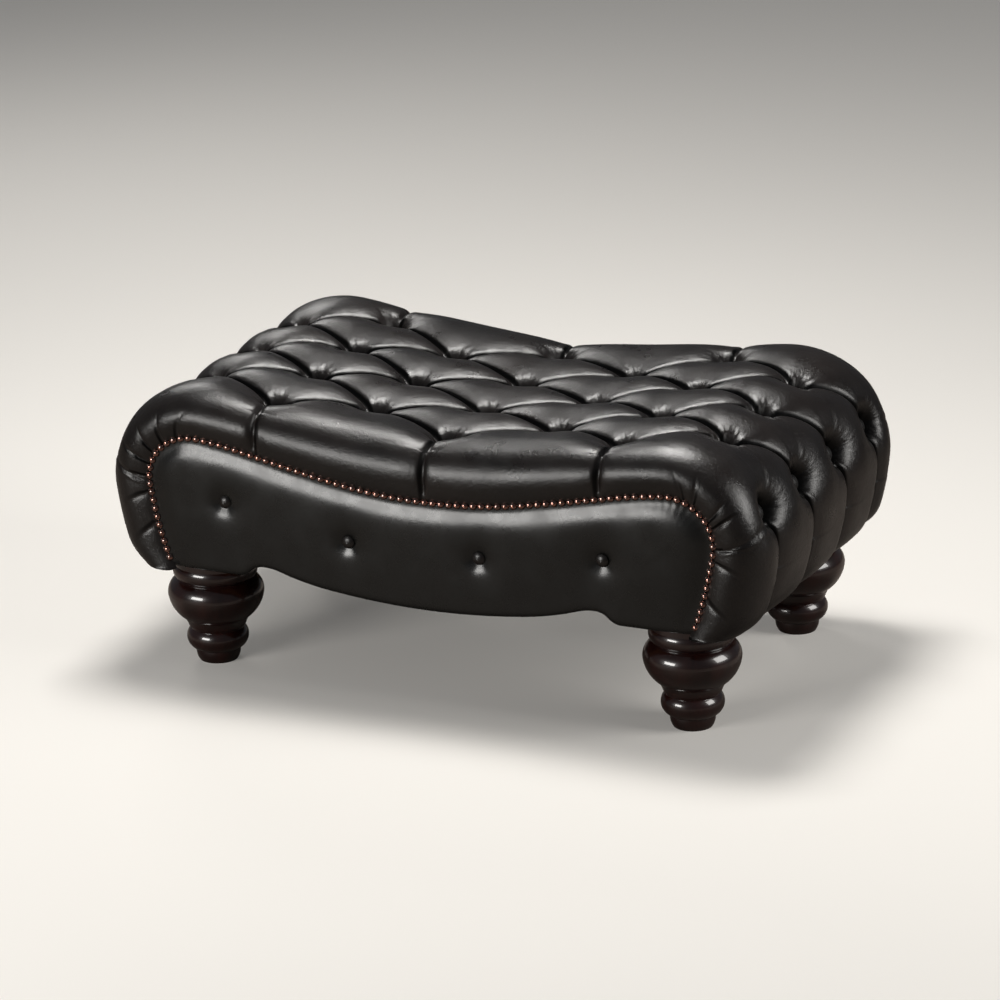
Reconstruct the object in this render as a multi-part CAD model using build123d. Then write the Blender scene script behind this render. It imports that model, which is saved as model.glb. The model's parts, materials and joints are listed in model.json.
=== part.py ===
from build123d import *
from math import atan2, cos, degrees, hypot, pi, sin
import os

# Deep-buttoned leather footstool with a saddle top and four turned bun feet.
# Millimetres, X along the length, front towards -Y, Z up, floor at Z = 0.

# Clearances and overruns
overrun = 40.0              # how far a cutting shape runs past what it cuts
clearance = 0.3             # between a soft piece and its neighbour
bore_play = 0.2             # between a fastener and its hole, on the radius

# Cover, as its outer outline in the front view
cover_length = 984.0
cover_depth = 554.0
hump_height = 413.0
cover_thickness = 48.0      # leather, wadding and the buttoned layer together
cover_bottom = hump_height * 0.3632
cover_foot_length = cover_length * 0.9065   # length of the cover at its bottom edge
roll_radius = 62.0          # rolled front and back edges
widest_height = hump_height * 0.6344
hump_spacing = cover_length * 0.6707
dip_height = hump_height * 0.9298
saddle_shares = (0.53, 0.41)
shoulder_shares = (0.716, 0.768)
haunch_shares = (0.674, 0.357)

# Nail line, which borders the facing panel
nail_line_dip = hump_height * 0.7174
nail_line_hump = hump_height * 0.8385
nail_line_hump_spacing = cover_length * 0.7012
nail_line_length = cover_length * 0.8506
nail_line_widest_height = hump_height * 0.661
nail_line_foot_length = cover_length * 0.7988
nail_line_foot_height = hump_height * 0.4075
nail_saddle_shares = ((0.435, 0.28), (0.783, 0.766))
nail_shoulder_shares = (0.75, 0.737)
facing_foot_length = cover_length * 0.7907
lip_width = 14.0            # band where the cover is drawn in to the nails
lip_depth = 9.0

# Facing panel and its bottom edge
facing_thickness = 12.0
facing_crown = 3.0          # how far the padding stands out from the nail line
facing_edge_radius = 2.8
facing_wrap = 4.0           # leather turned under the board
belly_height = hump_height * 0.3414
cove_height = hump_height * 0.416
cove_spacing = cover_length * 0.5061
pad_spacing = cover_length * 0.5793         # between the flat places over the feet
belly_shares = ((0.586, 0.308), (0.892, 0.877))
cove_share = 0.5
seam_gap = 1.6              # room for the nail shanks between cover and facing

# Nails
nails_per_half = 48         # on each half of a facing, beside the middle one
nail_head = 10.5
nail_head_edge = 0.4
nail_head_rise = 3.6
nail_shank = 1.3
nail_length = 22.0

# Wooden frame
board_thickness = 25.0
board_lap = 12.0            # how far the board runs outside the nail line
rail_thickness = 25.0
rail_length = cover_length * 0.8191         # over the outer faces of the two end rails
deck_height = hump_height * 0.5666          # top of the end rails, where the webbing lies
ledge_height = 18.0
ledge_width = 20.0
cross_rail_spacing = cover_length * 0.2947
cross_rail_height = 40.0
block_depth = cover_depth * 0.1715
dowel_diameter = 8.0
dowel_length = 40.0
dowel_pitch = 16.0
dowel_edge = 7.0            # from a cross rail's bottom to its lower dowel's middle
screw_diameter = 4.0
screw_head_diameter = 8.0
screw_length = 30.0

# Feet
foot_height = hump_height * 0.3777
foot_radius = 67.5
foot_spacing_x = cover_length * 0.7307
foot_spacing_y = cover_depth * 0.7123
foot_base_share = 0.40
# Each row: middle radius, middle height, end radius and end height of an arc
foot_arc_shares = (
    (0.452, 0.051, 0.459, 0.109),
    (0.644, 0.215, 0.563, 0.308),
    (0.583, 0.326, 0.603, 0.340),
    (0.642, 0.381, 0.702, 0.417),
    (0.915, 0.523, 1.000, 0.647),
    (0.949, 0.729, 0.810, 0.788),
    (0.881, 0.853, 0.840, 0.920),
)
bolt_diameter = 8.0
bolt_in_foot = 60.0
bolt_stand_out = 6.0        # bolt end above its nut
nut_barrel = 11.0
nut_barrel_length = 12.0
nut_flange = 22.0
nut_flange_thickness = 1.5

# Webbing, hessian and bottom cloth
webbing_width = 50.0
webbing_thickness = 1.5
hessian_thickness = 1.0
long_webbing_count = 5
cross_webbing_count = 9
cloth_thickness = 1.0

# Deep buttons and the creases between them
row_pitch = cover_depth * 0.117
row_count = 7
five_row_spacing = cover_length * 0.2612
four_row_inner = cover_length * 0.1357
four_row_outer = cover_length * 0.3974
end_button_height = hump_height * 0.7893
button_diameter = 22.0
button_edge = 2.5
button_rise = 7.0
pit_depth = 34.0
pit_mouth = 46.0
twine_diameter = 1.6
twine_bore = 3.2
twine_tail = 8.0            # twine below the webbing, where it is tied
crease_depth = 13.0
crease_half_width = 21.0
pleat_depth = 8.0
pleat_half_width = 12.0
neighbour_share = 0.7       # of the button spacing, within which a crease runs
flute_shares = (0.0, 0.4, 0.75, 1.0)
pleat_shoulder_shares = (0.30, 0.22)
pleat_face_share = 0.9
cuts_at_once = 8

# Facing buttons, as places on the front panel
facing_button_diameter = 17.7
facing_button_rise = 5.0
facing_button_edge = 1.5
facing_button_stem = 2.0
facing_button_stem_length = 24.0
dimple_diameter = 44.0
dimple_depth = 4.0
facing_button_shares = ((-0.362, 0.6295), (-0.1386, 0.5448), (0.0944, 0.5472), (0.3106, 0.5956))
facing_button_places = [(nail_line_length * across, hump_height * up)
                        for across, up in facing_button_shares]

# Places worked out from the sizes above, along the depth and up the height
front = -cover_depth / 2
nail_face = front + lip_depth
facing_back = nail_face + facing_thickness
board_face = facing_back + clearance
board_back = board_face + board_thickness
half_length = cover_length / 2
rail_outside = rail_length / 2
rail_inside = rail_outside - rail_thickness
ledge_bottom = deck_height - ledge_height
cross_rail_bottom = ledge_bottom - cross_rail_height
cross_rail_outside = cross_rail_spacing + rail_thickness / 2
block_inside = board_back + block_depth
hessian_top = deck_height + 2 * webbing_thickness + hessian_thickness
dimple_face = nail_face - facing_crown + dimple_depth


def between(low, high, share):
    """A value part of the way from low to high."""
    return low + (high - low) * share


def chain_stations(points):
    """Each point of a tangent arc chain with its heading, which starts level."""
    heading = 0.0
    stations = [(points[0], heading)]
    for start, end in zip(points, points[1:]):
        chord = atan2(end[1] - start[1], end[0] - start[0])
        bend = chord - heading
        heading = heading + 2 * atan2(sin(bend), cos(bend))
        stations.append((end, heading))
    return stations


def inset_station(station, inset):
    """A station moved to the right of its heading, into the outline."""
    (x, z), heading = station
    return (x + inset * sin(heading), z - inset * cos(heading))


def arc_chain(points, inset):
    """Edges of tangent arcs through the points, all moved inward, and their end."""
    stations = chain_stations(points)
    edges = []
    for first, second in zip(stations, stations[1:]):
        tangent = (cos(first[1]), sin(first[1]))
        start = inset_station(first, inset)
        end = inset_station(second, inset)
        edges.append(Edge.make_tangent_arc(start, tangent, end))
    return edges, inset_station(stations[-1], inset)


def chain_circles(points):
    """Start, end, centre and signed radius of each arc in a chain."""
    circles = []
    stations = chain_stations(points)
    for (start, heading), (end, ahead) in zip(stations, stations[1:]):
        chord = hypot(end[0] - start[0], end[1] - start[1])
        radius = chord / (2 * sin((ahead - heading) / 2))
        centre = (start[0] - radius * sin(heading), start[1] + radius * cos(heading))
        circles.append((start, end, centre, radius))
    return circles


def upright_face(edges):
    """Face of the edges on the right half and their mirror images."""
    return Face(Wire(edges + [edge.mirror(Plane.YZ) for edge in edges]))


def path_edges(*points):
    """Straight edges from point to point."""
    return [Edge.make_line(a, b) for a, b in zip(points, points[1:])]


def slab(face, near, far):
    """Prism of a front-view face between two depths."""
    return extrude(Plane.XZ.offset(-near) * face, amount=far - near, dir=(0, 1, 0))


def block(x0, x1, y0, y1, z0, z1):
    """Box between two corners."""
    middle = Location(((x0 + x1) / 2, (y0 + y1) / 2, (z0 + z1) / 2))
    return middle * Box(abs(x1 - x0), abs(y1 - y0), abs(z1 - z0))


def rod(start, end, radius):
    """Round bar between two points."""
    axis = Vector(*end) - Vector(*start)
    return extrude(Plane(origin=start, z_dir=axis) * Circle(radius), amount=axis.length)


def domed_stud(radius, edge, rise, stem_radius, stem_length):
    """Turned stud that stands on Z = 0: a domed head over a stem."""
    dome = rise - edge
    ball = (radius ** 2 + dome ** 2) / (2 * dome)
    half_angle = atan2(radius, ball - dome) / 2
    middle = (ball * sin(half_angle), rise - ball + ball * cos(half_angle))
    edges = path_edges((0, rise), (0, -stem_length), (stem_radius, -stem_length),
                       (stem_radius, 0), (radius, 0), (radius, edge))
    edges.append(Edge.make_three_point_arc((radius, edge), middle, (0, rise)))
    return revolve(Plane.XZ * Face(Wire(edges)), Axis.Z)


def turned_to_back(piece):
    """The same piece turned half round the vertical axis."""
    return Rotation(0, 0, degrees(pi)) * piece


def on_front(x, z, depth):
    """Plane on the front, its Z pointing out of the facing."""
    return Plane(origin=(x, depth, z), z_dir=(0, -1, 0))


# Outlines in the front view, from the middle to the right
hump_x = hump_spacing / 2
cover_points = (
    (0.0, dip_height),
    (hump_x * saddle_shares[0], between(dip_height, hump_height, saddle_shares[1])),
    (hump_x, hump_height),
    (between(hump_x, half_length, shoulder_shares[0]),
     between(widest_height, hump_height, shoulder_shares[1])),
    (half_length, widest_height),
    (between(cover_foot_length / 2, half_length, haunch_shares[0]),
     between(cover_bottom, widest_height, haunch_shares[1])),
    (cover_foot_length / 2, cover_bottom),
)

nail_hump_x = nail_line_hump_spacing / 2
nail_points = (
    (0.0, nail_line_dip),
    *((nail_hump_x * share_x, between(nail_line_dip, nail_line_hump, share_z))
      for share_x, share_z in nail_saddle_shares),
    (nail_hump_x, nail_line_hump),
    (between(nail_hump_x, nail_line_length / 2, nail_shoulder_shares[0]),
     between(nail_line_widest_height, nail_line_hump, nail_shoulder_shares[1])),
    (nail_line_length / 2, nail_line_widest_height),
    (nail_line_foot_length / 2, nail_line_foot_height),
)

cove_x = cove_spacing / 2
pad_x = pad_spacing / 2
belly_points = (
    (0.0, belly_height),
    *((cove_x * share_x, between(belly_height, cove_height, share_z))
      for share_x, share_z in belly_shares),
    (cove_x, cove_height),
    (between(cove_x, pad_x, cove_share), between(foot_height, cove_height, cove_share)),
    (pad_x, foot_height),
)


def cover_height(x):
    """Height of the cover's crest line at a place along the length."""
    for start, end, centre, radius in chain_circles(cover_points):
        if abs(x) <= end[0]:
            rise = (radius ** 2 - (abs(x) - centre[0]) ** 2) ** 0.5
            return centre[1] - rise if radius > 0 else centre[1] + rise
    return widest_height


def end_of_cover(height):
    """Half length of the cover at a height, and the centre of its arc there."""
    for start, end, centre, radius in chain_circles(cover_points)[3:]:
        if end[1] <= height <= start[1]:
            return centre[0] + (radius ** 2 - (height - centre[1]) ** 2) ** 0.5, centre
    return cover_foot_length / 2, (0.0, height)


def cavity_face(inset):
    """Front view of the cover moved in by inset, open below."""
    edges, end = arc_chain(cover_points, inset)
    floor = cover_bottom - overrun
    return upright_face(edges + path_edges(end, (end[0], floor), (0.0, floor)))


def solid_face():
    """Front view of the cover, run out along its last heading."""
    edges, end = arc_chain(cover_points, 0)
    heading = chain_stations(cover_points)[-1][1]
    tip = (end[0] + overrun * cos(heading), end[1] + overrun * sin(heading))
    return upright_face(edges + path_edges(end, tip, (0.0, tip[1])))


def nail_edges(inset):
    """Edges of the nail line moved in by inset and run down past the belly."""
    edges, end = arc_chain(nail_points, inset)
    low = (facing_foot_length / 2 - inset, foot_height)
    floor = belly_height - overrun
    return edges + path_edges(end, low, (low[0], floor), (0.0, floor))


def below_belly(lift):
    """Front view of all that lies below the panel's bottom edge, raised by lift."""
    edges, end = arc_chain(belly_points, -lift)
    far = half_length + overrun
    return upright_face(edges + path_edges(end, (far, end[1]), (far, -overrun), (0.0, -overrun)))


# Deep buttons
def row_depth(row):
    """Depth of a row of buttons, counted from the front."""
    return (row - (row_count - 1) / 2) * row_pitch


def row_places(row):
    """Places on the surface of one row's buttons, four and five in turn."""
    y = row_depth(row)
    if row % 2:
        reaches = (-four_row_outer, -four_row_inner, four_row_inner, four_row_outer)
        return [(x, y, cover_height(x)) for x in reaches]
    end = end_of_cover(end_button_height)[0]
    top = [(x, y, cover_height(x)) for x in (-five_row_spacing, 0.0, five_row_spacing)]
    return [(-end, y, end_button_height), *top, (end, y, end_button_height)]


def outward_at(place):
    """Direction out of the cushion at a button."""
    x, y, z = place
    if z != end_button_height:
        return Vector(0, 0, 1)
    centre = end_of_cover(z)[1]
    side = 1 if x > 0 else -1
    return Vector(x - side * centre[0], 0, z - centre[1]).normalized()


def button_planes():
    """One plane per deep button, on the surface and facing outwards."""
    return [Plane(origin=place, x_dir=(0, 1, 0), z_dir=outward_at(place))
            for row in range(row_count) for place in row_places(row)]


def twine_line(plane, top):
    """Ends of a button's twine: top is its height above the pit's bottom."""
    outward = plane.z_dir
    start = plane.origin - outward * (pit_depth - top)
    if outward.Z == 1:
        tied = deck_height - twine_tail
        low = hessian_top if abs(start.X) > rail_inside else tied
        return start, Vector(start.X, start.Y, low)
    reach = (start.Z - hessian_top - twine_diameter) / outward.Z
    return start, start - outward * reach


def twine_bores():
    """Holes that the twines run through."""
    bores = []
    for plane in button_planes():
        start, end = twine_line(plane, pit_depth / 2)
        if end.Z < deck_height:
            end = end - Vector(0, 0, twine_tail)
        bores.append(rod(start, end, twine_bore / 2))
    return bores


# Cuts in the cover
def wedge(start, end, depth, half_width, outward):
    """V-shaped bar along the surface, with its edge sunk by depth."""
    a = Vector(*start)
    b = Vector(*end)
    along = (b - a).normalized()
    plane = Plane(origin=a - along * depth / 2, x_dir=outward.cross(along), z_dir=along)
    top = (depth + half_width) * half_width / depth
    outline = Polyline((0, -depth), (top, half_width), (-top, half_width), close=True)
    return extrude(plane * make_face(outline), amount=(b - a).length + depth)


def crease(first, second):
    """Crease between two neighbouring buttons, in two runs over the cushion."""
    middle_x = (first[0] + second[0]) / 2
    middle = (middle_x, (first[1] + second[1]) / 2, cover_height(middle_x))
    outward = (outward_at(first) + outward_at(second)).normalized()
    return [wedge(first, middle, crease_depth, crease_half_width, outward),
            wedge(middle, second, crease_depth, crease_half_width, outward)]


def creases():
    """All the diagonal creases between neighbouring rows."""
    cuts = []
    for row in range(row_count - 1):
        for here in row_places(row):
            for there in row_places(row + 1):
                if abs(here[0] - there[0]) < five_row_spacing * neighbour_share:
                    cuts += crease(here, there)
    return cuts


def flutes():
    """Creases down both ends, from the end buttons to the bottom edge."""
    cuts = []
    heights = [between(end_button_height, cover_bottom, share) for share in flute_shares]
    for row in range(0, row_count, 2):
        for side in (-1, 1):
            places = [(side * end_of_cover(z)[0], row_depth(row), z) for z in heights]
            for upper, lower in zip(places, places[1:]):
                cuts.append(wedge(upper, lower, crease_depth, crease_half_width,
                                  Vector(side, 0, 0)))
    return cuts


def pleats():
    """Creases over both rolls, from the outer rows of buttons to the nails."""
    cuts = []
    sink_y, sink_z = (roll_radius * share for share in pleat_shoulder_shares)
    for x, y, z in row_places(0)[1:-1]:
        bend = (x, front + sink_y, z - sink_z)
        face = (x, front, z - roll_radius * pleat_face_share)
        foot = (x, front, between(nail_line_dip, nail_line_hump, abs(x) / hump_x) + lip_width)
        for start, end in (((x, y, z), bend), (bend, face), (face, foot)):
            along = Vector(*end) - Vector(*start)
            outward = Vector(1, 0, 0).cross(along) * -1
            cut = wedge(start, end, pleat_depth, pleat_half_width, outward.normalized())
            cuts += [cut, turned_to_back(cut)]
    return cuts


def pits():
    """Funnels that the deep buttons are pulled into."""
    bottom_radius = button_diameter / 2 + bore_play
    flare = (pit_mouth / 2 - bottom_radius) / 2
    cuts = []
    for plane in button_planes():
        bottom = plane.offset(-pit_depth) * Circle(bottom_radius)
        mouth = plane.offset(pit_depth / 2) * Circle(pit_mouth / 2 + flare)
        cuts.append(loft([bottom.face(), mouth.face()], ruled=True))
    return cuts


def cut_in_turn(body, cuts):
    """The body less the cuts, a few at a time."""
    for first in range(0, len(cuts), cuts_at_once):
        body -= cuts[first:first + cuts_at_once]
    return body


# Soft pieces
def tufted_cover():
    """Leather cover with its buttoned padding, open below and at both facings."""
    body = slab(solid_face(), front, -front)
    low = body.bounding_box().min.Z
    outline = [edge for edge in body.edges()
               if abs(abs(edge.center().Y) + front) < clearance
               and edge.center().Z > low + clearance]
    body = fillet(outline, roll_radius)
    body -= block(-cover_length, cover_length, -cover_depth, cover_depth, 0, cover_bottom)
    for cuts in (twine_bores(), pits(), creases(), flutes(), pleats()):
        body = cut_in_turn(body, cuts)
    body -= slab(cavity_face(cover_thickness), facing_back, -facing_back)
    opening = slab(upright_face(nail_edges(-seam_gap / 2)), front - overrun, facing_back)
    under_nails = upright_face(nail_edges(-nail_head / 2 - bore_play))
    lip = loft([Plane.XZ.offset(-front) * upright_face(nail_edges(-lip_width)),
                Plane.XZ.offset(-nail_face) * under_nails], ruled=True)
    for tool in (opening, lip):
        body = cut_in_turn(body, [tool, turned_to_back(tool)])
    return body


def board_shape(growth):
    """A facing board, or the room that it takes when grown."""
    face = upright_face(nail_edges(-board_lap - growth))
    face -= below_belly(facing_wrap + clearance - growth)
    return slab(face, board_face - growth, board_back + growth)


def filling(x0, x1, z0, z1):
    """Foam that fills the cover between two places and heights."""
    reach = -facing_back - clearance
    foam = slab(cavity_face(cover_thickness + clearance), -reach, reach)
    foam &= block(x0, x1, -reach, reach, z0, z1)
    room = board_shape(clearance)
    return foam - [room, turned_to_back(room)]


def seat_foam():
    """Foam block on the hessian, bored for the twines."""
    foam = filling(-cover_length, cover_length, hessian_top + clearance, cover_length)
    return foam - twine_bores()


def end_pad():
    """Foam outside the right end rail, below the seat foam."""
    low = foot_height + clearance
    return filling(rail_outside + clearance, cover_length, low, hessian_top)


def facing():
    """Padded leather panel of the front, dimpled under its buttons."""
    outline = upright_face(nail_edges(seam_gap / 2))
    panel = slab(outline - below_belly(0), nail_face, facing_back)
    raised = upright_face(nail_edges(nail_head / 2 + bore_play)) - below_belly(0)
    pad = slab(raised, nail_face - facing_crown, nail_face)
    rim = pad.edges().filter_by(Plane.XZ).group_by(Axis.Y)[0]
    panel += fillet(rim, facing_edge_radius)
    turned_under = slab((outline & below_belly(facing_wrap)) - below_belly(0),
                        facing_back, board_back)
    panel += turned_under
    ball = (dimple_diameter ** 2 / 4 + dimple_depth ** 2) / (2 * dimple_depth)
    for x, z in facing_button_places:
        panel -= Location((x, dimple_face - ball, z)) * Sphere(ball)
        seat = Vector(x, dimple_face, z)
        away = Vector(0, overrun, 0)
        panel -= rod(seat, seat - away, facing_button_diameter / 2 + bore_play)
        panel -= rod(seat, seat + away, facing_button_stem / 2 + bore_play)
    return panel


def tufting_buttons():
    """The deep buttons, each at the bottom of its pit."""
    stud = domed_stud(button_diameter / 2, button_edge, button_rise,
                      twine_diameter / 2, twine_diameter)
    return [plane.offset(-pit_depth) * stud for plane in button_planes()]


def button_twines():
    """Twines from the deep buttons down to their ties."""
    return [rod(*twine_line(plane, -twine_diameter), twine_diameter / 2)
            for plane in button_planes()]


def facing_buttons():
    """Buttons of the front facing, with their stems."""
    stud = domed_stud(facing_button_diameter / 2, facing_button_edge, facing_button_rise,
                      facing_button_stem / 2, facing_button_stem_length)
    return [on_front(x, z, dimple_face) * stud for x, z in facing_button_places]


# Wooden frame
def nail_planes():
    """Planes on the front's nail line, one per nail, facing outwards."""
    edges = arc_chain(nail_points, 0)[0]
    line = Wire(edges)
    planes = []
    for number in range(nails_per_half + 1):
        spot = line.position_at(line.length * number / nails_per_half,
                                position_mode=PositionMode.LENGTH)
        for side in (-1, 1) if number else (1,):
            planes.append(on_front(side * spot.X, spot.Y, nail_face))
    return planes


def nails():
    """The nails of the front facing, their heads on the nail line."""
    stud = domed_stud(nail_head / 2, nail_head_edge, nail_head_rise, nail_shank / 2,
                      nail_length)
    return [plane * stud for plane in nail_planes()]


def dowel_planes(x, middle):
    """Planes of the two dowels that join a rail to the front board."""
    return [Plane(origin=(x, board_back, middle + side * dowel_pitch / 2), z_dir=(0, -1, 0))
            for side in (-1, 1)]


def front_dowel_planes():
    """All the dowel planes of the front board."""
    end_middle = (foot_height + deck_height) / 2
    cross_middle = cross_rail_bottom + dowel_edge + dowel_pitch / 2
    planes = []
    for side in (-1, 1):
        planes += dowel_planes(side * (rail_outside - rail_thickness / 2), end_middle)
    for x in (-cross_rail_spacing, 0.0, cross_rail_spacing):
        planes += dowel_planes(x, cross_middle)
    return planes


def dowel_holes():
    """Holes for the dowels of both boards."""
    hole = Cylinder(dowel_diameter / 2 + bore_play, dowel_length + 2 * bore_play)
    holes = [plane * hole for plane in front_dowel_planes()]
    return holes + [turned_to_back(hole) for hole in holes]


def frame_dowels():
    """Dowels between the rails and both boards."""
    dowels = [plane * Cylinder(dowel_diameter / 2, dowel_length)
              for plane in front_dowel_planes()]
    return dowels + [turned_to_back(dowel) for dowel in dowels]


def board():
    """Front facing board, drilled for nails, buttons and dowels."""
    piece = board_shape(0)
    depth = nail_length - (board_face - nail_face)
    shank = Cylinder(nail_shank / 2 + bore_play, 2 * (depth + bore_play))
    piece -= [Plane(origin=(plane.origin.X, board_face, plane.origin.Z), z_dir=(0, -1, 0)) * shank
              for plane in nail_planes()]
    depth = facing_button_stem_length - (board_face - dimple_face)
    stem = Cylinder(facing_button_stem / 2 + bore_play, 2 * (depth + bore_play))
    piece -= [on_front(x, z, board_face) * stem for x, z in facing_button_places]
    return piece - dowel_holes()


def end_rail():
    """Right end rail, between the boards."""
    rail = block(rail_inside, rail_outside, board_back, -board_back, foot_height, deck_height)
    return rail - dowel_holes()


def cross_rail(x):
    """Rail across the frame, under the ledges."""
    half = rail_thickness / 2
    rail = block(x - half, x + half, board_back, -board_back, cross_rail_bottom, ledge_bottom)
    return rail - (dowel_holes() + ledge_screw_holes())


def ledge_screw_places():
    """Places of the screws down through both ledges, on the top of the ledge."""
    block_middle = (cross_rail_outside + rail_inside) / 2
    y = board_back + ledge_width / 2
    xs = (-block_middle, -cross_rail_spacing, 0.0, cross_rail_spacing, block_middle)
    return [(x, side * y, deck_height) for x in xs for side in (-1, 1)]


def ledge_screw(play):
    """Countersunk screw with its head flush at Z = 0, or its hole."""
    shank = screw_diameter / 2 + play
    head = screw_head_diameter / 2 + play
    edges = path_edges((0, 0), (head, 0), (shank, shank - head), (shank, -screw_length - play),
                       (0, -screw_length - play), (0, 0))
    return revolve(Plane.XZ * Face(Wire(edges)), Axis.Z)


def ledge_screws():
    """Screws that hold the ledges to the blocks and cross rails."""
    return [Location(place) * ledge_screw(0) for place in ledge_screw_places()]


def ledge_screw_holes():
    """Holes for the ledge screws."""
    return [Location(place) * ledge_screw(bore_play) for place in ledge_screw_places()]


def ledge():
    """Batten along the front board that carries the cross webbing."""
    batten = block(-rail_inside, rail_inside, board_back, board_back + ledge_width,
                   ledge_bottom, deck_height)
    return batten - ledge_screw_holes()


def foot_places():
    """Names and places of the four feet."""
    return {f"{end}_{side}": (x * foot_spacing_x / 2, y * foot_spacing_y / 2)
            for end, y in (("front", -1), ("back", 1)) for side, x in (("left", -1), ("right", 1))}


def corner_block(x, y):
    """Block over one foot, bored for its bolt and nut."""
    side = 1 if x > 0 else -1
    end = 1 if y > 0 else -1
    piece = block(side * cross_rail_outside, side * rail_inside, -end * board_back,
                  -end * block_inside, foot_height, ledge_bottom)
    piece -= rod((x, y, foot_height - overrun), (x, y, deck_height), bolt_diameter / 2 + bore_play)
    piece -= rod((x, y, ledge_bottom - nut_barrel_length - bore_play), (x, y, deck_height),
                 nut_barrel / 2 + bore_play)
    return piece - ledge_screw_holes()


# Feet and what holds them
def foot_turning():
    """Turned bun foot on the vertical axis, bored for its bolt."""
    start = (foot_radius * foot_base_share, 0.0)
    edges = path_edges((0.0, 0.0), start)
    for mid_radius, mid_height, end_radius, end_height in foot_arc_shares:
        middle = (foot_radius * mid_radius, foot_height * mid_height)
        end = (foot_radius * end_radius, foot_height * end_height)
        edges.append(Edge.make_three_point_arc(start, middle, end))
        start = end
    edges += path_edges(start, (start[0], foot_height), (0.0, foot_height), (0.0, 0.0))
    turning = revolve(Plane.XZ * Face(Wire(edges)), Axis.Z)
    depth = bolt_in_foot + bore_play
    return turning - rod((0, 0, foot_height - depth), (0, 0, foot_height + overrun),
                         bolt_diameter / 2 + bore_play)


def foot_bolts():
    """Bolts from the feet up through the blocks."""
    top = ledge_bottom + nut_flange_thickness + bolt_stand_out
    return [rod((x, y, foot_height - bolt_in_foot), (x, y, top), bolt_diameter / 2)
            for x, y in foot_places().values()]


def foot_nuts():
    """Flanged nuts driven into the tops of the blocks."""
    nuts = []
    for x, y in foot_places().values():
        flange_top = ledge_bottom + nut_flange_thickness
        nut = rod((x, y, ledge_bottom - nut_barrel_length), (x, y, flange_top), nut_barrel / 2)
        nut += rod((x, y, ledge_bottom), (x, y, flange_top), nut_flange / 2)
        nuts.append(nut - rod((x, y, foot_height), (x, y, deck_height),
                              bolt_diameter / 2 + bore_play))
    return nuts


# Webbing and cloths
def strips(count, room):
    """Middles of evenly spread strips across a room."""
    return [room * ((number + 1 / 2) / count - 1 / 2) for number in range(count)]


def long_webbing():
    """Strips from end rail to end rail, holed for the twines."""
    half = webbing_width / 2
    bands = [block(-rail_outside, rail_outside, y - half, y + half, deck_height,
                   deck_height + webbing_thickness)
             for y in strips(long_webbing_count, -2 * board_back)]
    bores = twine_bores()
    return [band - bores for band in bands]


def cross_webbing():
    """Strips from ledge to ledge over the long ones, holed for the twines."""
    half = webbing_width / 2
    reach = board_back + clearance
    bands = [block(x - half, x + half, reach, -reach, deck_height + webbing_thickness,
                   deck_height + 2 * webbing_thickness)
             for x in strips(cross_webbing_count, 2 * rail_inside)]
    bores = twine_bores()
    return [band - bores for band in bands]


def hessian():
    """Cloth over the webbing, holed for the twines."""
    reach = board_back + clearance
    cloth = block(-rail_outside, rail_outside, reach, -reach,
                  deck_height + 2 * webbing_thickness, hessian_top)
    return cloth - twine_bores()


def bottom_cloth():
    """Black cloth under the cross rails, cut out round the corner blocks."""
    low = cross_rail_bottom - cloth_thickness
    wide = rail_inside - clearance
    deep = board_back + clearance
    cloth = block(-wide, wide, block_inside + clearance, -block_inside - clearance,
                  low, cross_rail_bottom)
    narrow = cross_rail_outside - clearance
    return cloth + block(-narrow, narrow, deep, -deep, low, cross_rail_bottom)


def write(name, piece):
    """One file per piece, or per group of like pieces."""
    if isinstance(piece, list):
        piece = Compound(children=piece)
    export_step(piece, f"parts/{name}.step")


os.makedirs("parts", exist_ok=True)

cover_facing = facing()
facing_board = board()
facing_studs = facing_buttons()
facing_nails = nails()
right_pad = end_pad()
right_rail = end_rail()
front_ledge = ledge()
foot = foot_turning()

write("tufted_cover", tufted_cover())
write("seat_foam", seat_foam())
write("right_end_pad", right_pad)
write("left_end_pad", turned_to_back(right_pad))
write("front_facing", cover_facing)
write("back_facing", turned_to_back(cover_facing))
write("front_board", facing_board)
write("back_board", turned_to_back(facing_board))
write("right_end_rail", right_rail)
write("left_end_rail", turned_to_back(right_rail))
write("left_cross_rail", cross_rail(-cross_rail_spacing))
write("middle_cross_rail", cross_rail(0))
write("right_cross_rail", cross_rail(cross_rail_spacing))
write("front_ledge", front_ledge)
write("back_ledge", turned_to_back(front_ledge))
for place_name, (foot_x, foot_y) in foot_places().items():
    write(f"corner_block_{place_name}", corner_block(foot_x, foot_y))
    write(f"foot_{place_name}", Location((foot_x, foot_y, 0)) * foot)
write("foot_bolts", foot_bolts())
write("foot_nuts", foot_nuts())
write("frame_dowels", frame_dowels())
write("ledge_screws", ledge_screws())
write("long_webbing", long_webbing())
write("cross_webbing", cross_webbing())
write("hessian", hessian())
write("bottom_cloth", bottom_cloth())
write("tufting_buttons", tufting_buttons())
write("button_twines", button_twines())
write("front_facing_buttons", facing_studs)
write("back_facing_buttons", [turned_to_back(stud) for stud in facing_studs])
write("front_nails", facing_nails)
write("back_nails", [turned_to_back(nail) for nail in facing_nails])
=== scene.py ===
import json
import math
from typing import NamedTuple

import bmesh
import bpy
import numpy as np
from bpy.props import FloatProperty, FloatVectorProperty, PointerProperty
from mathutils import Matrix, Vector
from mathutils.bvhtree import BVHTree
from mathutils.kdtree import KDTree


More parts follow.
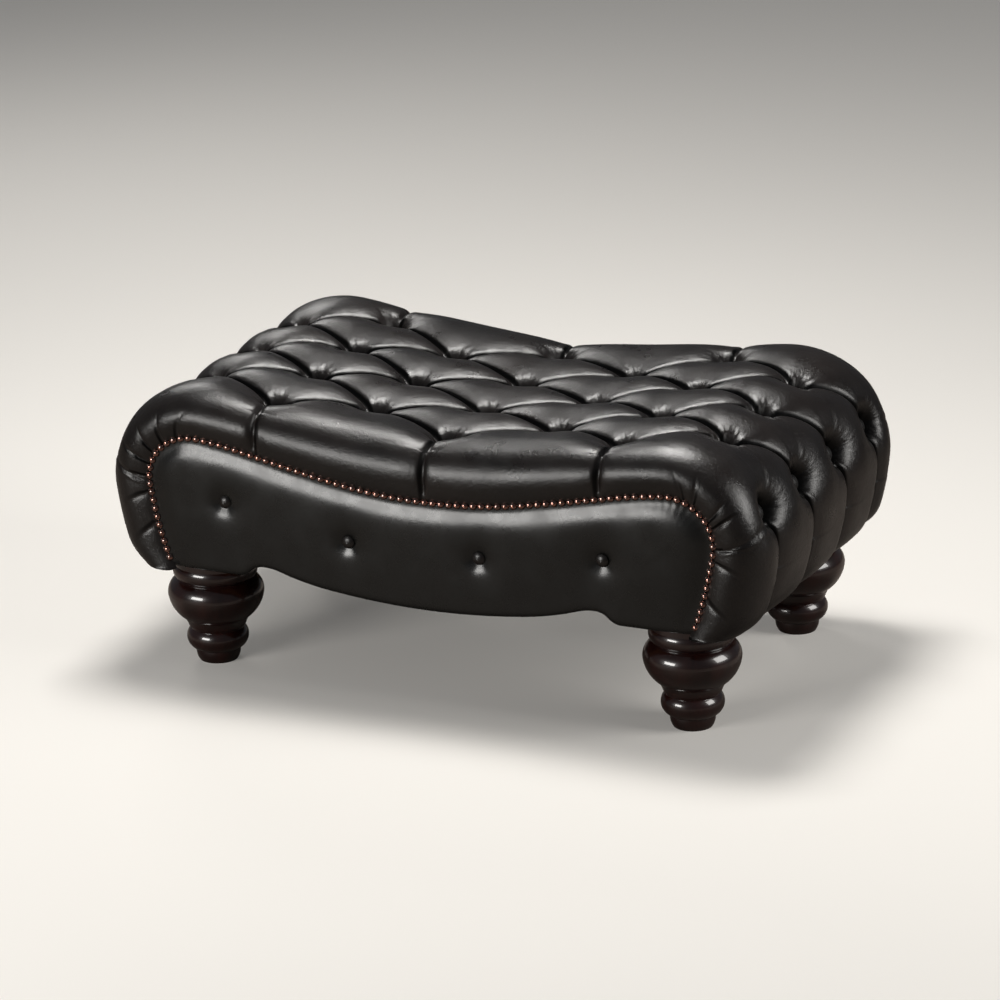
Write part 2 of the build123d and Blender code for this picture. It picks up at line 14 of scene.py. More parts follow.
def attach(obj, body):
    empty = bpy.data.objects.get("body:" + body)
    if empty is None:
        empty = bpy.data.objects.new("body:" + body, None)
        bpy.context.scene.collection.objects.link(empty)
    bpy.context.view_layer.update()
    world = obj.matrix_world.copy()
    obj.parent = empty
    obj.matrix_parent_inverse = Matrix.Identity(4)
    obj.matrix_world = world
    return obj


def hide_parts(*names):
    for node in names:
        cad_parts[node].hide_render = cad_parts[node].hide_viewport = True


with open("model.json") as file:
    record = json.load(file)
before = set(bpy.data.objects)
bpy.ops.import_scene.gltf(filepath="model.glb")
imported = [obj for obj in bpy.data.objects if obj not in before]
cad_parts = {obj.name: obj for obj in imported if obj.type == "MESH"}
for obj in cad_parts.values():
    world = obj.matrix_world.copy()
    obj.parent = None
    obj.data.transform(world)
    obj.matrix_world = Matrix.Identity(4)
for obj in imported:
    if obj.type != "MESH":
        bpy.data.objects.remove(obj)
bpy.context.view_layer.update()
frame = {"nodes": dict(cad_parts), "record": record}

bl_info = {
    "name": "Buttoned footstool",
    "version": (1, 0, 0),
    "blender": (4, 5, 0),
    "location": "View3D > Sidebar > Footstool",
    "description": "Deep-buttoned leather footstool on turned bun feet",
    "category": "Add Mesh",
}

MM = 0.001
SEED = 7


def colour(text):
    """Linear colour of an sRGB hex value."""
    parts = [int(text[i:i + 2], 16) / 255 for i in (1, 3, 5)]
    return [p / 12.92 if p <= 0.04045 else ((p + 0.055) / 1.055) ** 2.4 for p in parts]


def length_prop(name, text, value):
    """A length in metres, given in millimetres."""
    return FloatProperty(name=name, description=text, default=value * MM,
                         subtype="DISTANCE", unit="LENGTH")


def colour_prop(name, text, value):
    """A colour given as sRGB hex."""
    return FloatVectorProperty(name=name, description=text, default=colour(value),
                               subtype="COLOR", size=3, min=0, max=1)


class CoverSizes(bpy.types.PropertyGroup):
    """Sizes and colours of the buttoned cover."""
    grid: length_prop("Grid", "Spacing of the cover's mesh", 2.0)
    crease: length_prop("Crease depth", "Depth of a crease half way between buttons", 12.0)
    crease_end: length_prop("Crease end", "Depth of a crease where it meets a button", 25.0)
    pit: length_prop("Pit depth", "Depth of the pits under the buttons", 35.0)
    crown: length_prop("Crown", "Swell of each diamond between its creases", 12.0)
    bow: length_prop("Bow", "How far a crease bows back over the diamond behind it", 4.5)
    tint: colour_prop("Leather colour", "Dark brown semi-aniline leather", "#0f0c0b")
    worn: colour_prop("Rubbed colour", "Leather rubbed lighter on the crowns", "#1a1513")


class FacingSizes(bpy.types.PropertyGroup):
    """Sizes and colours of the two facing panels."""
    crown: length_prop("Crown", "How far the panel swells out", 11.0)
    dimple: length_prop("Dimple", "Depth of the dimple under a button", 10.0)
    tint: colour_prop("Leather colour", "Smoother, cooler dark leather", "#121211")


class TrimSizes(bpy.types.PropertyGroup):
    """Colours of nails and feet."""
    copper: colour_prop("Nail colour", "Antique copper plate", "#a0634d")
    mahogany: colour_prop("Foot colour", "Dark mahogany under gloss lacquer", "#270c08")


class StageSizes(bpy.types.PropertyGroup):
    """The floor and the lamps."""
    floor: colour_prop("Floor colour", "Plain pale floor", "#d9d6d1")
    bounce: colour_prop("Bounce colour", "What the floor throws back", "#6c645d")
    power: FloatProperty(name="Lamps", description="Strength of all lamps", default=1.0,
                         min=0.0)


# Lengths in millimetres. The outlines are seen from the front and run from the middle to
# the right
COVER_POINTS = ((0, 384), (174.9, 395.9), (330, 413), (446, 378), (492, 262),
                (477, 190), (448, 153), (438, 150), (402, 151))
NAIL_POINTS = ((0, 296.3), (150, 310.3), (270, 334.6), (345, 346.3), (400.1, 327),
               (418.5, 273), (393, 168.3), (388, 153))
BELLY_POINTS = ((0, 141), (145.9, 150.5), (222.1, 168), (249, 171.8), (267, 163.9),
                (285, 156))
# Share of the nail line that each point of the cover's outline is drawn to
NAIL_SHARES = (0, 0.30, 0.565, 0.70, 0.81, 0.93, 1, 1, 1)
# Point of the cover's outline at which it turns under the end rails
UNDER_POINT = 6

HALF_DEPTH = 277.0
NAIL_FACE = 268.0
FACING_BACK = 256.0
# Radius of the rolls, how far they turn under, their drop to the nails and their run
ROLL = 62.0
ROLL_UNDER = math.radians(35)
ROLL_DROP = 76
ROLL_RUN = 118
FLAT_HALF = HALF_DEPTH - ROLL
# How far past the flat top the pleats and the corner tucks reach over the roll
PLEAT_REACH = 106
TUCK_REACH = 108
# How far the leather tucks in behind the panel past the last nail
TUCK_IN = 5.0

ROWS = 7
ROW_PITCH = 64.8
FIVE_ROW = 257.0
FOUR_ROW = (133.5, 391.0)
END_BUTTON_HEIGHT = 326.0
# Buttons nearer than this share of the spacing are joined by a crease
NEIGHBOUR_SHARE = 0.62
FACING_BUTTONS = ((-303, 260), (-116, 225), (79, 226), (260, 246))
# Half sizes and middle height of the sheet that a facing is cut from, and its seam
FACING_HALF = (422, 108)
FACING_MIDDLE = 245
SEAM = 0.8
NAIL_PITCH = 12.25
# Run, length and depth of the tucks that fan over each corner
TUCKS = ((392, 40, 3.0), (428, 52, 3.6), (466, 56, 4.2), (503, 62, 4.4),
         (545, 50, 3.8), (590, 40, 3.4), (640, 36, 3.0))

# Mesh spacing of the facings, finished and quick
FACING_GRID = (2.6, 4.5)

# What lies behind the leather of the cover, and how far it is looked for
FILLING = ("seat_foam", "left_end_pad", "right_end_pad", "front_board", "back_board",
           "left_end_rail", "right_end_rail", "corner_block_front_left",
           "corner_block_front_right", "corner_block_back_left", "corner_block_back_right")
FILLING_REACH = 80.0
LEATHER_THICKNESS = 1.2

# Folds and pits are blended with this power, so that the deeper one wins softly
BLEND = 4
# Distance given to places that no fold or button has reached yet
FAR = 400.0
# Bow of the folds that run nearly straight, of the end flutes and of the corner tucks
SLIGHT_BOW = 1.5
FLUTE_BOW = 13.0
TUCK_BOW = 2.0
# How tight the corner tucks are, and the depth that counts as full for them
TUCK_TIGHT = 1.6
TUCK_FULL = 4.5
# Height of the lip of leather beside a fold, its distance from the fold and its width
LIP = (0.8, 9.0, 4.0)
# Width of the swell behind a fold
BACK_SWELL = 24.0
# Radius of a pit, depth and radius of the funnel round it, and how far both reach
PIT_RADIUS = 14.0
FUNNEL = (11.0, 30.0)
PIT_REACH = 130
# Height of the puckers round a button, their distance from it and their width
PUCKER = (0.42, 22, 10.0)
# The pits of the two ends are this much wider
END_PIT = 1.35
# The material is told how far away a fold lies up to this distance
FOLD_REACH = 16

# Colour of the slits and pits that light hardly enters
SHADOW = "#030303"

# Hidden materials by slot: name, light and dark tone, stretch of the grain, roughness,
# relief and, for the metal, metallic
HIDDEN = {
    "frame_wood": ("sawn_beech", "#c9a476", "#a67f52", (6, 90, 90), 0.6, 0.2),
    "foam": ("cream_foam", "#e5d9ac", "#cdbf8c", (700, 700, 700), 0.9, 0.3),
    "webbing": ("jute_webbing", "#a98a58", "#7c6138", (500, 500, 90), 0.85, 0.5),
    "hessian": ("hessian", "#b59b6e", "#8b7246", (650, 650, 650), 0.9, 0.5),
    "bottom_cloth": ("black_bottom_cloth", "#1b1b1b", "#0e0e0e", (900, 900, 900), 0.95, 0.3),
    "twine": ("waxed_twine", "#cfc3a4", "#a89a78", (900, 900, 900), 0.7, 0.3),
    "steel": ("zinc_plated_steel", "#b9bcc0", "#8f9296", (300, 300, 300), 0.35, 0.1, 1.0),
}

# The stage in metres and watts. Lamps: name, place, size and power
LAMPS = (("overhead", (-0.3, 0.4, 2.6), (1.0, 0.7), 62),
         ("back_left", (-2.2, 2.2, 1.9), (0.9, 0.6), 14),
         ("front_left", (-1.35, -2.9, 1.0), (1.5, 0.75), 52),
         ("right", (2.8, 0.1, 1.5), (1.4, 1.4), 46))
LAMP_TARGET = (0, 0, 0.3)
LAMP_TINT = (1, 0.98, 0.95)
ROOM_TINT = (0.82, 0.86, 0.92, 1)
ROOM_LIGHT = 0.09
FLOOR_HALF = 30
# Glow of the floor that only the camera sees
FLOOR_LIFT = 0.17
# Azimuth, elevation and roll in degrees, and the lens as a multiple of the sensor's width
CAMERA_ANGLES = (24.52, 19.08, -1.33)
CAMERA_TARGET = (-0.1654, 0.3419, 0.0818)
CAMERA_DISTANCE = 7.382
SENSOR = 36
LENS_RATIO = 4.987


class Fold(NamedTuple):
    """A kind of fold: shares of the full depths, tightness and swell in front of it."""
    middle: float
    end: float
    tail: float
    tight: float = 1.0
    front: float = 17.0


DIAMOND = Fold(middle=1.0, end=1.0, tail=1.0)
# Leather is drawn smooth from an end button to the row behind it
SMOOTHED = Fold(middle=0.12, end=0.3, tail=0.4)
PLEAT = Fold(middle=0.55, end=0.9, tail=0.35, tight=1.7)
CORNER_PLEAT = Fold(middle=0.16, end=0.25, tail=0.4)
FLUTE = Fold(middle=1.0, end=1.0, tail=0.75, front=11.0)


def chain_samples(points, step=1.0):
    """Places, headings and run along tangent arcs through the points."""
    heading = 0.0
    places, headings, runs, marks = [], [], [], [0.0]
    run = 0.0
    for start, end in zip(points, points[1:]):
        chord = math.atan2(end[1] - start[1], end[0] - start[0])
        bend = math.atan2(math.sin(chord - heading), math.cos(chord - heading))
        gap = math.dist(start, end)
        length = gap * bend / math.sin(bend) if abs(bend) > 1e-6 else gap
        count = max(2, int(length / step))
        for k in range(count):
            share = k / count
            turn = 2 * bend * share
            reach = length * share
            half = turn / 2
            far = reach * math.sin(half) / half if abs(half) > 1e-6 else reach
            places.append((start[0] + far * math.cos(heading + half),
                           start[1] + far * math.sin(heading + half)))
            headings.append(heading + turn)
            runs.append(run + reach)
        heading += 2 * bend
        run += length
        marks.append(run)
    places.append(points[-1])
    headings.append(heading)
    runs.append(run)
    return np.array(places), np.array(headings), np.array(runs), np.array(marks)


class Outline:
    """A half outline that can be read at any run from the middle."""

    def __init__(self, points):
        self.places, self.headings, self.runs, self.marks = chain_samples(points)
        self.length = self.runs[-1]

    def at(self, run):
        """Place and inward normal at signed runs."""
        side = np.where(run < 0, -1.0, 1.0)
        reach = np.abs(run)
        x = np.interp(reach, self.runs, self.places[:, 0]) * side
        z = np.interp(reach, self.runs, self.places[:, 1])
        heading = np.interp(reach, self.runs, self.headings)
        return x, z, np.sin(heading) * side, -np.cos(heading)

    def run_at_x(self, x):
        """Run at which the top reaches a place along the length."""
        top = np.argmax(self.places[:, 0])
        reach = np.interp(abs(x), self.places[:top, 0], self.runs[:top])
        return math.copysign(reach, x) if x else 0.0

    def run_at_z(self, z):
        """Run at which the end reaches a height."""
        high = np.argmax(self.places[:, 1])
        return float(np.interp(-z, -self.places[high:, 1], self.runs[high:]))


cover_line = Outline(COVER_POINTS)
nail_line = Outline(NAIL_POINTS)
belly_line = Outline(BELLY_POINTS)


def roll_path(count):
    """Turn angles from the nail line to the flat top, with the run left to the top."""
    angles = np.linspace(-ROLL_UNDER, math.pi / 2, count)
    fine = np.linspace(-ROLL_UNDER, math.pi / 2, 400)
    drop = ROLL_DROP / (1 + math.sin(ROLL_UNDER))
    y = -ROLL * np.cos(fine)
    d = drop * (1 - np.sin(fine))
    run = np.concatenate(([0], np.cumsum(np.hypot(np.diff(y), np.diff(d)))))
    return angles, np.interp(angles, fine, run[-1] - run)


def noise_field(p, size, seed):
    """Smooth random field from a sum of sines, mostly between -1 and 1."""
    rng = np.random.default_rng(seed)
    total = np.zeros(len(p))
    for _ in range(9):
        wave = rng.normal(size=3) / size * 1.6
        total += np.sin(p @ wave + rng.uniform(0, 6.28))
    return total / 4.5


def button_places():
    """Run and depth of every deep button, row by row."""
    end = cover_line.run_at_z(END_BUTTON_HEIGHT)
    five = [cover_line.run_at_x(x) for x in (-FIVE_ROW, 0, FIVE_ROW)]
    four = [cover_line.run_at_x(x) for x in (-FOUR_ROW[1], -FOUR_ROW[0], *FOUR_ROW)]
    rows = []
    for row in range(ROWS):
        runs = four if row % 2 else [-end, *five, end]
        rows.append([(run, (row - ROWS // 2) * ROW_PITCH) for run in runs])
    return rows


def crease_lines(bow):
    """Start, end, bow and kind of every fold that starts at a button."""
    rows = button_places()
    end_runs = (rows[0][0][0], rows[0][-1][0])
    lines = []
    for near, far in zip(rows, rows[1:]):
        for a in near:
            for b in far:
                if abs(a[0] - b[0]) < NEIGHBOUR_SHARE * FIVE_ROW:
                    smooth = a[0] in end_runs
                    lines.append((a, b, SLIGHT_BOW, SMOOTHED) if smooth else (a, b, bow, DIAMOND))
    edge = FLAT_HALF + PLEAT_REACH
    outer_rows = ((rows[0], -1), (rows[-1], 1))
    for row, side in outer_rows:
        for number, (run, y) in enumerate(row[1:-1], start=-1):
            foot = run * 1.01 + side * 4 * number
            lines.append(((run, y), (foot, side * edge), SLIGHT_BOW, PLEAT))
    for row in rows[::2]:
        # The flutes of the last row run straight
        lean = 0.0 if row is rows[-1] else FLUTE_BOW
        for run, y in (row[0], row[-1]):
            low = math.copysign(cover_line.marks[UNDER_POINT] + 12, run)
            lines.append(((run, y), (low, y * 1.02), lean, FLUTE))
    for row, side in outer_rows:
        for run, y in (row[0], row[-1]):
            lines.append(((run, y), (run * 1.06, side * edge), SLIGHT_BOW, CORNER_PLEAT))
    return lines


def corner_tucks():
    """Short pleats that fan over the four rolled corners from the nail line."""
    tucks = []
    edge = FLAT_HALF + TUCK_REACH
    for side in (-1, 1):
        for end in (-1, 1):
            for number, (run, long, deep) in enumerate(TUCKS):
                shift = 7 * math.sin(3.1 * number + side + 2 * end)
                start = (end * (run + shift), side * edge)
                lean = (-26 + 9 * number) * end
                tucks.append((start, (start[0] + lean, side * (edge - long)), deep))
    return tucks


def segment_reach(s, y, a, b, bow):
    """Distance to a bowed segment, share along it and signed way across it."""
    a = np.array(a)
    b = np.array(b)
    line = b - a
    size = np.hypot(*line)
    along = ((s - a[0]) * line[0] + (y - a[1]) * line[1]) / size ** 2
    share = np.clip(along, 0, 1)
    lean = math.copysign(1, line[0]) if abs(line[0]) > 1 else math.copysign(1, line[1])
    off = (line[0] * (y - a[1]) - line[1] * (s - a[0])) / size * lean
    off = off - bow * np.sin(math.pi * share)
    over = (along - share) * size
    return np.hypot(off, over), share, off


def crease_share(d, off):
    """Depth share across a fold: steep in front of it, a long slope behind it."""
    steep = 0.62 * np.exp(-d / 2.6) + 0.38 * np.exp(-(d / 13.0) ** 1.6)
    slope = 0.65 * np.exp(-d / 3.5) + 0.35 * np.exp(-(d / 20.0) ** 1.5)
    return np.where(off > 0, slope, steep)


def tuft_depth(s, y, sizes):
    """Swell and pulled-in depth, then the ways to the nearest button and the nearest fold."""
    middle = sizes.crease / MM
    ends = sizes.crease_end / MM
    lip_height, lip_place, lip_width = LIP
    p = np.stack([s, y, np.zeros_like(s)], axis=1)
    wander = 2.0 * noise_field(p, 55, SEED)
    ripple = noise_field(p, 14, SEED + 1)
    depth = np.zeros_like(s)
    lips = np.zeros_like(s)
    dome = np.ones_like(s)
    # Way across the nearest fold, distance to it and its share of the full depth
    fold = np.full((len(s), 3), FAR)
    for a, b, bow, kind in crease_lines(sizes.bow / MM):
        d, t, off = segment_reach(s + wander, y + wander * 0.6, a, b, bow)
        near = np.abs(2 * t - 1) ** 1.8
        tail = np.where(t > 0.5, kind.tail, 1.0)
        half_way = middle * kind.middle
        deep = (half_way + (ends * kind.end - half_way) * near) * (
            1 - (1 - tail) * np.clip(2 * t - 1, 0, 1))
        lip = lip_height * np.exp(-((d - lip_place) / lip_width) ** 2) * (
            np.where(off > 0, 1.0, 0.2))
        depth += (deep * crease_share(d * kind.tight, off)) ** BLEND
        lips = np.maximum(lips, lip * (0.6 + 0.5 * ripple))
        mine = d < fold[:, 1]
        fold[mine] = np.stack([off, d, deep / middle], axis=1)[mine]
        wide = np.where(off > 0, BACK_SWELL, kind.front) / kind.tight
        dome *= 1 - tail * min(1, 1.1 * kind.middle) * np.exp(-(d / wide) ** 1.05)
    for a, b, deep in corner_tucks():
        d, t, off = segment_reach(s + wander, y + wander, a, b, TUCK_BOW)
        deep = deep * (1 - t) ** 0.7
        depth += (deep * crease_share(d * TUCK_TIGHT, off)) ** BLEND
        mine = d < fold[:, 1]
        fold[mine] = np.stack([off, d, deep / TUCK_FULL], axis=1)[mine]
    funnel_depth, funnel_radius = FUNNEL
    pucker_height, pucker_place, pucker_width = PUCKER
    last_four = cover_line.run_at_x(FOUR_ROW[1])
    puckers = np.zeros_like(s)
    closest = np.full_like(s, FAR)
    # Way to the nearest button along the run and the depth, and its length
    away = np.full((len(s), 3), FAR * MM)
    for run, place in (button for row in button_places() for button in row):
        end = END_PIT if abs(run) > last_four + 1 else 1.0
        dx = s - run
        dy = y - place
        r = np.hypot(dx, dy)
        near = r < PIT_REACH
        turn = np.arctan2(dy, dx)
        hole = sizes.pit / MM * np.exp(-(r / PIT_RADIUS / end) ** 2)
        funnel = funnel_depth * end * np.exp(-(r / funnel_radius / end) ** 1.35)
        folds = np.cos(9 * turn + 2.5 * ripple + run) + 0.6 * np.cos(
            14 * turn + 3 * ripple + place)
        pucker = pucker_height * folds * np.exp(-((r - pucker_place) / pucker_width) ** 2)
        depth[near] += ((hole + funnel) ** BLEND)[near]
        puckers += np.where(near, pucker, 0)
        dome[near] *= (1 - np.exp(-(r / 27.0) ** 1.5))[near]
        mine = r < closest
        # The painted shade and the wrinkles of the wider pits reach further out as well
        away[mine] = (np.stack([dx, dy, r], axis=1) * MM / (2.1 * end - 1.1))[mine]
        closest = np.minimum(closest, r)
    swell = sizes.crown / MM * (dome - 1) - 1.5
    depth = depth ** (1 / BLEND) - lips + puckers
    fold[:, :2] = np.clip(fold[:, :2], -FOLD_REACH, FOLD_REACH) * MM
    return swell + 1.0 * noise_field(p, 90, SEED + 2), depth, away, fold


def shell_points(s, angle, y):
    """The smooth cover before it is buttoned: from run, roll angle and depth."""
    x, z, _, _ = cover_line.at(s)
    share = np.interp(np.abs(s), cover_line.marks, NAIL_SHARES)
    lx, lz, _, _ = nail_line.at(np.copysign(share * nail_line.length, s))
    # Past the last nail the leather tucks in behind the panel
    lx -= np.copysign(TUCK_IN * np.clip(20 * share - 19, 0, 1), s)
    drop = (1 - np.sin(angle)) / (1 + math.sin(ROLL_UNDER))
    rolled = np.sign(y) * (FLAT_HALF + ROLL * np.cos(angle))
    depth = np.where(np.abs(y) > FLAT_HALF, rolled, y)
    return np.stack([x + (lx - x) * drop, depth, z + (lz - z) * drop], axis=1)


def outward(s, angle, y):
    """Outward normals of the smooth cover, from points a small step to each side."""
    step = 0.5
    turn = 0.01
    ahead = shell_points(s + step, angle, y) - shell_points(s - step, angle, y)
    up = np.clip(angle + turn, -ROLL_UNDER, math.pi / 2)
    on_flat = np.abs(y) <= FLAT_HALF
    after = shell_points(s, np.where(on_flat, angle, up), np.where(on_flat, y + step, y))
    before = shell_points(s, np.where(on_flat, angle, up - 2 * turn),
                          np.where(on_flat, y - step, y))
    across = after - before
    across[~on_flat & (y > 0)] *= -1
    normal = np.cross(ahead, across)
    return normal / (np.linalg.norm(normal, axis=1)[:, None] + 1e-9)


def depth_to_filling(base, normal):
    """How far behind the smooth cover the foam and wood lie."""
    bm = bmesh.new()
    for name in FILLING:
        bm.from_mesh(frame["nodes"][name].data)
    search = BVHTree.FromBMesh(bm)
    bm.free()
    lift = 8.0
    starts = (base + normal * lift) * MM
    found = [search.ray_cast(start, way, FILLING_REACH * MM)[3]
             for start, way in zip(starts, -normal)]
    return np.array([FILLING_REACH if hit is None else hit / MM - lift for hit in found])


def held_back(pull, room):
    """Depths that level off softly at the room there is."""
    return np.sign(pull) * np.abs(pull) / (1 + np.abs(pull / room) ** 6) ** (1 / 6)


def plug(tree, made, inputs):
    """Links sockets to a node's inputs and sets the rest as constants."""
    for name, source in dict(inputs).items():
        if isinstance(source, bpy.types.NodeSocket):
            tree.links.new(source, made.inputs[name])
        else:
            made.inputs[name].default_value = source


def node(tree, kind, inputs=(), **settings):
    """Adds a node, then sets its settings and its inputs."""
    made = tree.nodes.new(kind)
    for name, value in settings.items():
        setattr(made, name, value)
    plug(tree, made, inputs)
    return made


def two_tones(tree, factor, low, dark, high, light):
    """Colour that runs from a dark tone to a light one between two factors."""
    ramp = node(tree, "ShaderNodeValToRGB", {"Fac": factor})
    first, last = ramp.color_ramp.elements
    first.position, last.position = low, high
    first.color, last.color = (*dark, 1), (*light, 1)
    return ramp.outputs["Color"]


def fade_out(tree, value, start, end, **settings):
    """One up to the start, falling to nothing at the end."""
    return node(tree, "ShaderNodeMapRange", {"Value": value, "From Min": start, "From Max": end,
                                             "To Min": 1.0, "To Max": 0.0}, **settings).outputs[0]


def times(tree, first, second):
    """Product of two values."""
    return node(tree, "ShaderNodeMath", {0: first, 1: second}, operation="MULTIPLY").outputs[0]


def new_material(name):
    """An empty material: its tree, shader and object coordinates."""
    material = bpy.data.materials.new(name)
    material.use_nodes = True
    tree = material.node_tree
    tree.nodes.clear()
    shader = node(tree, "ShaderNodeBsdfPrincipled")
    out = node(tree, "ShaderNodeOutputMaterial", {"Surface": shader.outputs[0]})
    place = node(tree, "ShaderNodeTexCoord").outputs["Object"]
    out.location = (300, 0)
    return material, tree, shader, place


def gathers(tree, under):
    """Fine wrinkles that run out from the deep buttons, over an earlier bump."""
    way = node(tree, "ShaderNodeAttribute", attribute_name="from_button").outputs["Vector"]
    flat = node(tree, "ShaderNodeVectorMath", {0: way, 1: (1, 1, 0)}, operation="MULTIPLY")
    unit = node(tree, "ShaderNodeVectorMath", {0: flat.outputs[0]}, operation="NORMALIZE")
    far = node(tree, "ShaderNodeVectorMath", {0: way, 1: (0, 0, 12)}, operation="MULTIPLY")
    spot = node(tree, "ShaderNodeVectorMath", {0: unit.outputs[0], 1: far.outputs[0]},
                operation="ADD")
    streak = node(tree, "ShaderNodeTexNoise", {"Vector": spot.outputs[0], "Scale": 5.5,
                                               "Detail": 3.0, "Roughness": 0.6})
    reach = node(tree, "ShaderNodeSeparateXYZ", {"Vector": way}).outputs["Z"]
    fade = node(tree, "ShaderNodeMapRange", {
        "Value": reach, "From Min": 0.016, "From Max": 0.048,
        "To Min": 0.9, "To Max": 0.0}, interpolation_type="SMOOTHSTEP")
    start = node(tree, "ShaderNodeMapRange", {
        "Value": reach, "From Min": 0.010, "From Max": 0.019})
    force = times(tree, fade.outputs["Result"], start.outputs["Result"])
    return node(tree, "ShaderNodeBump", {
        "Height": streak.outputs["Fac"], "Normal": under.outputs["Normal"],
        "Strength": force, "Distance": 0.0013})


def paint_fold_shade(tree, tint, shader):
    """Painted shade: darkens the colour and dulls the sheen of the thin slit at the bottom of
    each fold and of the depth of each pit.
    """
    across = node(tree, "ShaderNodeAttribute", attribute_name="fold").outputs["Vector"]
    parts = node(tree, "ShaderNodeSeparateXYZ", {"Vector": across}).outputs
    # The painted shade of the slit lies on the far side of each fold, where the next diamond
    # starts
    off = node(tree, "ShaderNodeMath", {0: parts["X"], 1: 0.0045}, operation="SUBTRACT")
    off = node(tree, "ShaderNodeMath", {0: off.outputs[0]}, operation="ABSOLUTE").outputs[0]
    line = fade_out(tree, off, 0.0010, 0.0042, interpolation_type="SMOOTHSTEP")
    close = fade_out(tree, parts["Y"], 0.0095, 0.0120)
    deep = node(tree, "ShaderNodeMapRange", {
        "Value": parts["Z"], "From Min": 0.15, "From Max": 0.8}).outputs[0]
    slit_shade = times(tree, times(tree, line, close), deep)
    # Painted shade deep in each pit, fading out from the button
    way = node(tree, "ShaderNodeAttribute", attribute_name="from_button").outputs["Vector"]
    reach = node(tree, "ShaderNodeSeparateXYZ", {"Vector": way}).outputs["Z"]
    pit = fade_out(tree, reach, 0.010, 0.022, interpolation_type="SMOOTHSTEP")
    dark = node(tree, "ShaderNodeMath", {0: slit_shade, 1: pit}, operation="MAXIMUM").outputs[0]
    shade = node(tree, "ShaderNodeMix", {"Factor": dark, "A": tint, "B": (*colour(SHADOW), 1)},
                 data_type="RGBA")
    # The painted shade also dulls the sheen
    shine = node(tree, "ShaderNodeMapRange", {"Value": dark, "To Min": 0.5, "To Max": 0.03})
    plug(tree, shader, {"Base Color": shade.outputs["Result"],
                        "Specular IOR Level": shine.outputs["Result"]})


def leather(name, tint, worn, *, grain_mm, rough, coat, bump, gathered=False):
    """Semi-aniline leather: dyed through, thinly finished, with a fine pebbled grain."""
    material, tree, shader, place = new_material(name)
    cloud = node(tree, "ShaderNodeTexNoise", {"Vector": place, "Scale": 9.0, "Detail": 5.0})
    tone = two_tones(tree, cloud.outputs["Fac"], 0.35, tint, 0.72, worn)
    # Gathered leather gets painted shade in its fold slits and pits
    if gathered:
        paint_fold_shade(tree, tone, shader)
    else:
        plug(tree, shader, {"Base Color": tone})
    # The finish is rubbed unevenly, so the sheen breaks up in soft patches
    patch = node(tree, "ShaderNodeTexNoise", {"Vector": place, "Scale": 26.0, "Detail": 6.0})
    sheen = node(tree, "ShaderNodeMapRange", {
        "Value": patch.outputs["Fac"], "From Min": 0.3, "From Max": 0.7,
        "To Min": rough - 0.05, "To Max": rough + 0.07})
    # Grain cells, drawn a little coarser than real so that they show
    cells = 1 / (grain_mm * MM)
    pebble = node(tree, "ShaderNodeTexVoronoi", {"Vector": place, "Scale": cells},
                  feature="DISTANCE_TO_EDGE")
    pore = node(tree, "ShaderNodeTexNoise", {"Vector": place, "Scale": 0.32 * cells,
                                             "Detail": 6.0, "Roughness": 0.65})
    wrinkle = node(tree, "ShaderNodeTexNoise", {
        "Vector": place, "Scale": 70.0, "Detail": 5.0, "Roughness": 0.62, "Distortion": 1.2})
    fine = node(tree, "ShaderNodeBump", {"Height": pebble.outputs["Distance"],
                                         "Strength": bump, "Distance": 0.0006})
    middle = node(tree, "ShaderNodeBump", {
        "Height": pore.outputs["Fac"], "Normal": fine.outputs["Normal"],
        "Strength": bump, "Distance": 0.0017})
    broad = node(tree, "ShaderNodeBump", {
        "Height": wrinkle.outputs["Fac"], "Normal": middle.outputs["Normal"],
        "Strength": bump * 0.3, "Distance": 0.0022})
    last = gathers(tree, broad) if gathered else broad
    plug(tree, shader, {"Roughness": sheen.outputs["Result"], "Normal": last.outputs["Normal"],
                        "IOR": 1.5, "Coat Weight": coat, "Coat Roughness": 0.28})
    return material


def lacquered_mahogany(name, tint):
    """Mahogany stained near black under gloss lacquer: deep colour, sharp reflections."""
    material, tree, shader, place = new_material(name)
    shift = node(tree, "ShaderNodeMapping", {"Vector": place, "Scale": (60, 60, 4)})
    grain = node(tree, "ShaderNodeTexNoise", {"Vector": shift.outputs[0], "Scale": 1.0,
                                              "Detail": 6.0, "Distortion": 0.6})
    dark = [0.35 * c for c in tint]
    tone = two_tones(tree, grain.outputs["Fac"], 0.3, dark, 0.75, tint)
    ripple = node(tree, "ShaderNodeBump", {"Height": grain.outputs["Fac"],
                                           "Strength": 0.06, "Distance": 0.001})
    plug(tree, shader, {"Base Color": tone, "Normal": ripple.outputs["Normal"],
                        "Roughness": 0.28, "Coat Weight": 1.0, "Coat Roughness": 0.04,
                        "IOR": 1.5})
    return material


def antique_copper(name, tint):
    """Copper-plated steel nail heads, darkened and rubbed bright on top."""
    material, tree, shader, place = new_material(name)
    spots = node(tree, "ShaderNodeTexNoise", {"Vector": place, "Scale": 260.0, "Detail": 3.0})
    dark = [0.3 * c for c in tint]
    tone = two_tones(tree, spots.outputs["Fac"], 0.32, dark, 0.62, tint)
    rough = node(tree, "ShaderNodeMapRange", {"Value": spots.outputs["Fac"],
                                              "To Min": 0.10, "To Max": 0.22})
    plug(tree, shader, {"Base Color": tone, "Roughness": rough.outputs["Result"],
                        "Metallic": 1.0, "Coat Weight": 1.0, "Coat Roughness": 0.06,
                        "Coat IOR": 2.0})
    return material


